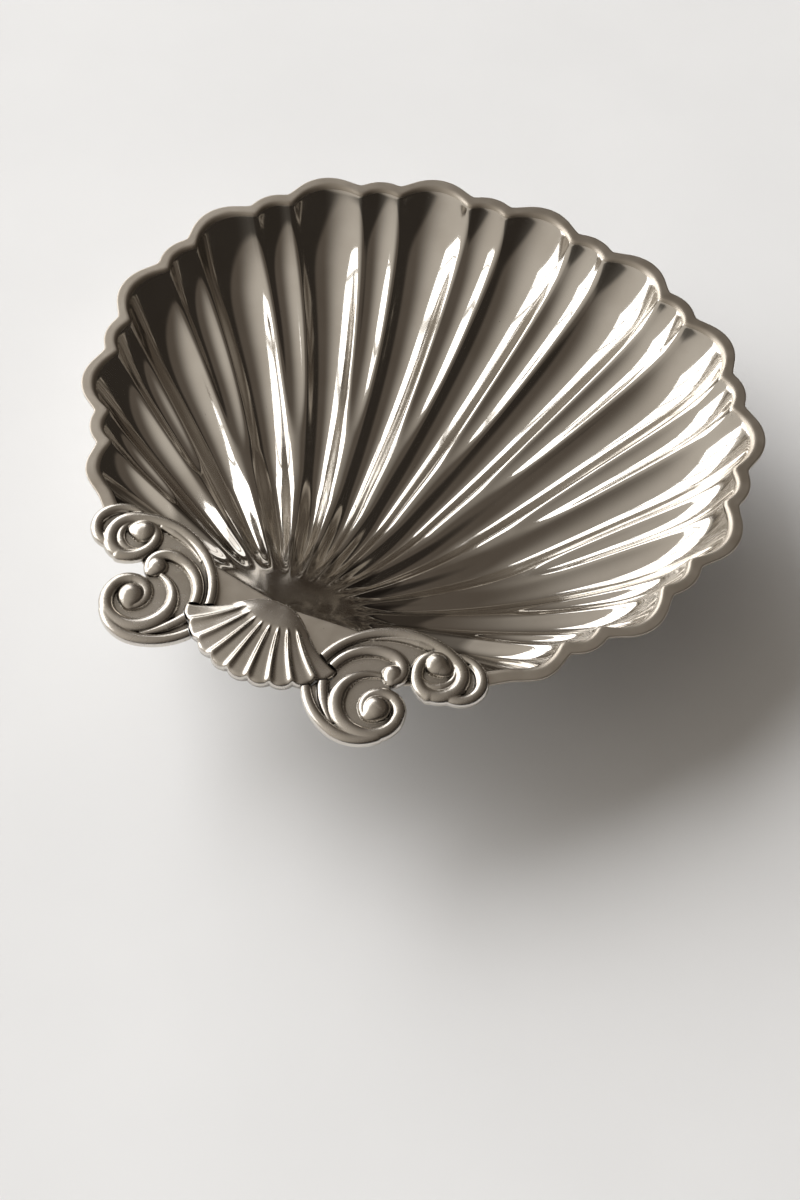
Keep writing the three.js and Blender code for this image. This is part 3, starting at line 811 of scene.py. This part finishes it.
BRIGHT_SILVER = (0.83, 0.80, 0.755, 1)
WARM_SILVER = (0.76, 0.725, 0.675, 1)
SATIN_SILVER = (0.61, 0.56, 0.495, 1)
SATIN_WARM = (0.52, 0.47, 0.405, 1)
CAST_SILVER = (0.74, 0.70, 0.65, 1)
CAST_WARM = (0.65, 0.61, 0.55, 1)

FLOOR_GREY = (0.775, 0.782, 0.795, 1)
FLOOR_PALE = (0.805, 0.812, 0.825, 1)
FLOOR_MOTTLE_SCALE = 9.0
FLOOR_MOTTLE_RANGE = (0.3, 0.7)
FLOOR_GRAIN_SCALE = 700.0
FLOOR_GRAIN = 0.00002
FLOOR_ROUGHNESS = 0.55


class Nodes:
    """Short names for building a node tree."""

    def __init__(self, tree):
        self.tree = tree
        tree.nodes.clear()

    def add(self, kind, **inputs):
        node = self.tree.nodes.new(kind)
        for name, value in inputs.items():
            self.set(node, name, value)
        return node

    def set(self, node, name, value):
        socket = node.inputs[name.replace("_", " ") if isinstance(name, str) else name]
        if isinstance(value, bpy.types.NodeSocket):
            self.tree.links.new(value, socket)
        else:
            socket.default_value = value

    def noise(self, coordinates, scale, detail):
        node = self.add("ShaderNodeTexNoise", Vector=coordinates, Scale=scale, Detail=detail)
        return node.outputs["Fac"]

    def ramp(self, value, low, high, to_low, to_high):
        node = self.add("ShaderNodeMapRange", Value=value)
        node.interpolation_type = "SMOOTHSTEP"
        for name, number in zip(("From Min", "From Max", "To Min", "To Max"), (low, high, to_low, to_high)):
            node.inputs[name].default_value = number
        return node.outputs["Result"]

    def math(self, operation, a, b=0.0):
        node = self.add("ShaderNodeMath")
        node.operation = operation
        self.set(node, 0, a)
        self.set(node, 1, b)
        return node.outputs["Value"]

    def mix(self, factor, a, b):
        """Mix of two colours. The node's sockets for colour are inputs 6 and 7 and output 2."""
        node = self.add("ShaderNodeMix")
        node.data_type = "RGBA"
        self.set(node, 0, factor)
        self.set(node, 6, a)
        self.set(node, 7, b)
        return node.outputs[2]

    def vector(self, operation, a, b=(0, 0, 0)):
        node = self.add("ShaderNodeVectorMath")
        node.operation = operation
        self.set(node, 0, a)
        self.set(node, 1, b)
        return node.outputs["Value" if operation in ("LENGTH", "DOT_PRODUCT") else "Vector"]

    def bump(self, height, distance, normal=None):
        node = self.add("ShaderNodeBump", Height=height, Distance=distance, Strength=1.0)
        if normal is not None:
            self.set(node, "Normal", normal)
        return node.outputs["Normal"]

    def surface(self, output, shader):
        end = self.add(output)
        self.set(end, "Surface", shader.outputs[0])


def painted_reflection_mask(nodes, coordinates, stray, strength):
    """Strength of the painted dark reflection round the hub."""
    from_hub = nodes.vector("SUBTRACT", coordinates, HUB)
    from_hub = nodes.vector("MULTIPLY", from_hub, (1, 1, 0))
    parts = nodes.add("ShaderNodeSeparateXYZ", Vector=from_hub).outputs
    heading = nodes.math("ARCTAN2", parts["X"], parts["Y"])
    swing = nodes.math("SINE", nodes.math("MULTIPLY", heading, math.pi / EDGE_ANGLE))
    angle = nodes.math("ADD", heading, nodes.math("MULTIPLY", swing, SWEEP))
    wave = nodes.math("COSINE", nodes.math("MULTIPLY", angle, 2 * math.pi / PITCH))
    sideways = nodes.math("POWER", nodes.math("ABSOLUTE", heading), PAINTED_REFLECTION_SIDE_POWER)
    side_reach = PAINTED_REFLECTION_SIDE * MM / EDGE_ANGLE**PAINTED_REFLECTION_SIDE_POWER
    reach = nodes.vector("LENGTH", from_hub)
    reach = nodes.math("ADD", reach, nodes.math("MULTIPLY", wave, PAINTED_REFLECTION_LOBE * MM))
    reach = nodes.math("SUBTRACT", reach, nodes.math("MULTIPLY", sideways, side_reach))
    reach = nodes.math("ADD", reach, nodes.ramp(stray, *PAINTED_REFLECTION_STRAY_RANGE, -PAINTED_REFLECTION_STRAY * MM, PAINTED_REFLECTION_STRAY * MM))
    return nodes.ramp(reach, (PAINTED_REFLECTION_REACH - PAINTED_REFLECTION_EDGE) * MM, (PAINTED_REFLECTION_REACH + PAINTED_REFLECTION_EDGE) * MM, strength, 0.0)


def silver(name, bright, dull, roughness, wave, grain, groove_tarnish_and_shade=0.0, hub_painted_reflection=0.0):
    """Silver plate: tones between bright and dull, a range of roughness, and bumps by wave and grain.

    The darkening of narrow grooves is partly tarnish there and partly painted shade; the darkening close to
    the hub is a painted dark reflection.
    """
    material = bpy.data.materials.new(name)
    material.use_nodes = True
    nodes = Nodes(material.node_tree)
    place_on = nodes.add("ShaderNodeTexCoord").outputs["Object"]
    tone = nodes.noise(place_on, TONE_SCALE, detail=4.0)
    colour = nodes.mix(nodes.ramp(tone, *TONE_RANGE, 0.0, 1.0), bright, dull)
    specks = nodes.add("ShaderNodeTexVoronoi", Vector=place_on, Scale=SPECK_SCALE)
    speck = nodes.ramp(specks.outputs["Distance"], *SPECK_RANGE, SPECK_STRENGTH, 0.0)
    colour = nodes.mix(speck, colour, TARNISH_AND_PAINTED_REFLECTION)
    smears = nodes.noise(place_on, SMEAR_SCALE, detail=3.0)
    dullness = nodes.ramp(smears, *SMEAR_RANGE, *roughness)
    # Grooves darkened by occlusion: partly tarnish there, partly painted shade
    if groove_tarnish_and_shade:
        hollow = nodes.add("ShaderNodeAmbientOcclusion", Distance=GROOVE_TARNISH_AND_SHADE_DISTANCE)
        hollow.samples = GROOVE_TARNISH_AND_SHADE_SAMPLES
        dark = nodes.ramp(hollow.outputs["AO"], *GROOVE_TARNISH_AND_SHADE_RANGE, groove_tarnish_and_shade, 0.0)
        colour = nodes.mix(dark, colour, GROOVE_TARNISH_AND_SHADE_COLOUR)
    # Painted dark reflection close to the hub, mixed into the colour
    if hub_painted_reflection:
        near = painted_reflection_mask(nodes, place_on, tone, hub_painted_reflection)
        colour = nodes.mix(near, colour, TARNISH_AND_PAINTED_REFLECTION)
    relief = nodes.bump(nodes.noise(place_on, WAVE_SCALE, detail=1.0), wave)
    relief = nodes.bump(nodes.noise(place_on, GRAIN_SCALE, detail=3.0), grain, relief)
    shader = nodes.add("ShaderNodeBsdfPrincipled", Base_Color=colour, Metallic=1.0, Roughness=dullness)
    nodes.set(shader, "Normal", relief)
    nodes.surface("ShaderNodeOutputMaterial", shader)
    return material


def floor_paint():
    """Pale paint, faintly mottled."""
    material = bpy.data.materials.new("pale_floor")
    material.use_nodes = True
    nodes = Nodes(material.node_tree)
    place_on = nodes.add("ShaderNodeTexCoord").outputs["Object"]
    mottle = nodes.noise(place_on, FLOOR_MOTTLE_SCALE, detail=4.0)
    mottle = nodes.ramp(mottle, *FLOOR_MOTTLE_RANGE, 0.0, 1.0)
    colour = nodes.mix(mottle, FLOOR_GREY, FLOOR_PALE)
    relief = nodes.bump(nodes.noise(place_on, FLOOR_GRAIN_SCALE, detail=3.0), FLOOR_GRAIN)
    shader = nodes.add("ShaderNodeBsdfPrincipled", Base_Color=colour, Roughness=FLOOR_ROUGHNESS)
    nodes.set(shader, "Normal", relief)
    nodes.surface("ShaderNodeOutputMaterial", shader)
    return material


# Pieces

POLISHED = silver(
    "polished_silver",
    BRIGHT_SILVER,
    WARM_SILVER,
    roughness=(0.075, 0.115),
    wave=0.000025,
    grain=0.0000012,
    # painted dark reflection round the hub
    hub_painted_reflection=0.66,
)
SATIN = silver(
    "satin_rim_silver",
    SATIN_SILVER,
    SATIN_WARM,
    roughness=(0.36, 0.44),
    wave=0.00002,
    grain=0.000004,
)
CAST = silver(
    "cast_silver",
    CAST_SILVER,
    CAST_WARM,
    roughness=(0.22, 0.29),
    wave=0.00003,
    grain=0.000003,
    # groove darkening: partly tarnish, partly painted shade
    groove_tarnish_and_shade=0.95,
)

dish = dish_body(POLISHED, SATIN)
place(dish, "dish_body")
place(shell_cartouche(CAST), "shell_cartouche")
SCROLL = scroll_shape()
place(scroll("left_scroll_casting", SCROLL, CAST, True), "left_scroll")
place(scroll("right_scroll_casting", SCROLL, CAST, False), "right_scroll")
for foot_node in ("fan_foot", "right_foot", "left_foot"):
    place(foot(foot_node, CAST, dish), foot_node)

# Floor
FLOOR_SIZE = 80.0
FLOOR_CELLS = 8
bpy.ops.mesh.primitive_grid_add(x_subdivisions=FLOOR_CELLS, y_subdivisions=FLOOR_CELLS, size=FLOOR_SIZE)
floor = bpy.context.object
floor.name = "floor"
floor.data.materials.append(floor_paint())

# Camera, placed in millimetres in the drawing frame
LENS = 62.80
SENSOR_WIDTH = 36.0
NEAREST_SEEN = 0.01
CAMERA = (185.675, -308.404, 533.890)
CAMERA_FORWARD = (-0.24099, 0.50809, -0.82690)
CAMERA_ROLL = math.radians(2.714)
camera_data = bpy.data.cameras.new("camera")
camera_data.lens = LENS
camera_data.sensor_width = SENSOR_WIDTH
camera_data.clip_start = NEAREST_SEEN
camera = bpy.data.objects.new("camera", camera_data)
bpy.context.scene.collection.objects.link(camera)
camera.location = to_row(CAMERA)
camera_aim = Vector(CAMERA_FORWARD).to_track_quat("-Z", "Y")
camera.rotation_mode = "QUATERNION"
camera.rotation_quaternion = camera_aim @ Quaternion((0, 0, 1), CAMERA_ROLL)
bpy.context.scene.camera = camera

# Light: a wide window with upright bars on the left, even daylight from there, and a dim warm room that is
# lighter on the window's side and darker low down
WINDOW_AZIMUTH = math.radians(-80)
WINDOW_HEIGHT = math.radians(26)
WINDOW_DISTANCE = 6.8
WINDOW_SIZE = (10.8, 5.0)
WINDOW_PANES = (4, 2)
WINDOW_BAR = 0.32
PANE_POWER = 46.0
DAYLIGHT_STRENGTH = 3.9
DAYLIGHT_SPREAD = math.radians(56)
WINDOW_COLOUR = (1.0, 0.995, 0.985)
ROW_POWER_SHARES = (1.2, 0.9)
ROOM_BRIGHT_WAY = (-0.75, -0.40, 0.40)
ROOM_BRIGHT_RANGE = (-0.1, 1.0)
ROOM_OPEN_WAY = (-0.50, 0.0, 1.0)
ROOM_OPEN_RANGE = (0.22, 0.38)
ROOM_LOW_SHARE = 0.3
ROOM_BRIGHT = (0.53, 0.488, 0.43, 1)
ROOM_DARK = (0.095, 0.079, 0.064, 1)
BLACK = (0.0, 0.0, 0.0, 1)


def hang(light, location, facing):
    """An object that holds a light, which the camera doesn't see."""
    light.color = WINDOW_COLOUR
    holder = bpy.data.objects.new(light.name, light)
    bpy.context.scene.collection.objects.link(holder)
    holder.location = location
    holder.rotation_mode = "QUATERNION"
    holder.rotation_quaternion = facing
    holder.visible_camera = False
    return holder


def window_light():
    """Panes that the silver mirrors, and even daylight from the same side, which it doesn't mirror."""
    out = Vector((math.sin(WINDOW_AZIMUTH), math.cos(WINDOW_AZIMUTH), 0)) * math.cos(WINDOW_HEIGHT)
    out.z = math.sin(WINDOW_HEIGHT)
    facing = out.to_track_quat("Z", "Y")
    middle = out * WINDOW_DISTANCE
    columns, rows = WINDOW_PANES
    for column in range(columns):
        for row in range(rows):
            pane = bpy.data.lights.new("window_pane", "AREA")
            pane.shape = "RECTANGLE"
            pane.size = WINDOW_SIZE[0] / columns - WINDOW_BAR
            pane.size_y = WINDOW_SIZE[1] / rows
            pane.energy = PANE_POWER * ROW_POWER_SHARES[row]
            across = ((column + 0.5) / columns - 0.5) * WINDOW_SIZE[0]
            up = ((row + 0.5) / rows - 0.5) * WINDOW_SIZE[1]
            hang(pane, middle + facing @ Vector((across, up, 0)), facing)
    daylight = bpy.data.lights.new("daylight", "SUN")
    daylight.energy = DAYLIGHT_STRENGTH
    daylight.angle = DAYLIGHT_SPREAD
    hang(daylight, middle, facing).visible_glossy = False


def room():
    """Surroundings that the silver mirrors, dim and warm."""
    world = bpy.data.worlds.new("room")
    bpy.context.scene.world = world
    world.use_nodes = True
    nodes = Nodes(world.node_tree)
    way = nodes.add("ShaderNodeTexCoord").outputs["Generated"]
    side = nodes.ramp(nodes.vector("DOT_PRODUCT", way, ROOM_BRIGHT_WAY), *ROOM_BRIGHT_RANGE, 0.0, 1.0)
    lift = nodes.ramp(nodes.vector("DOT_PRODUCT", way, ROOM_OPEN_WAY), *ROOM_OPEN_RANGE, ROOM_LOW_SHARE, 1.0)
    tone = nodes.mix(side, ROOM_DARK, ROOM_BRIGHT)
    colour = nodes.mix(lift, BLACK, tone)
    shader = nodes.add("ShaderNodeBackground", Color=colour, Strength=1.0)
    nodes.surface("ShaderNodeOutputWorld", shader)


window_light()
room()
bpy.context.scene.view_settings.view_transform = "Standard"
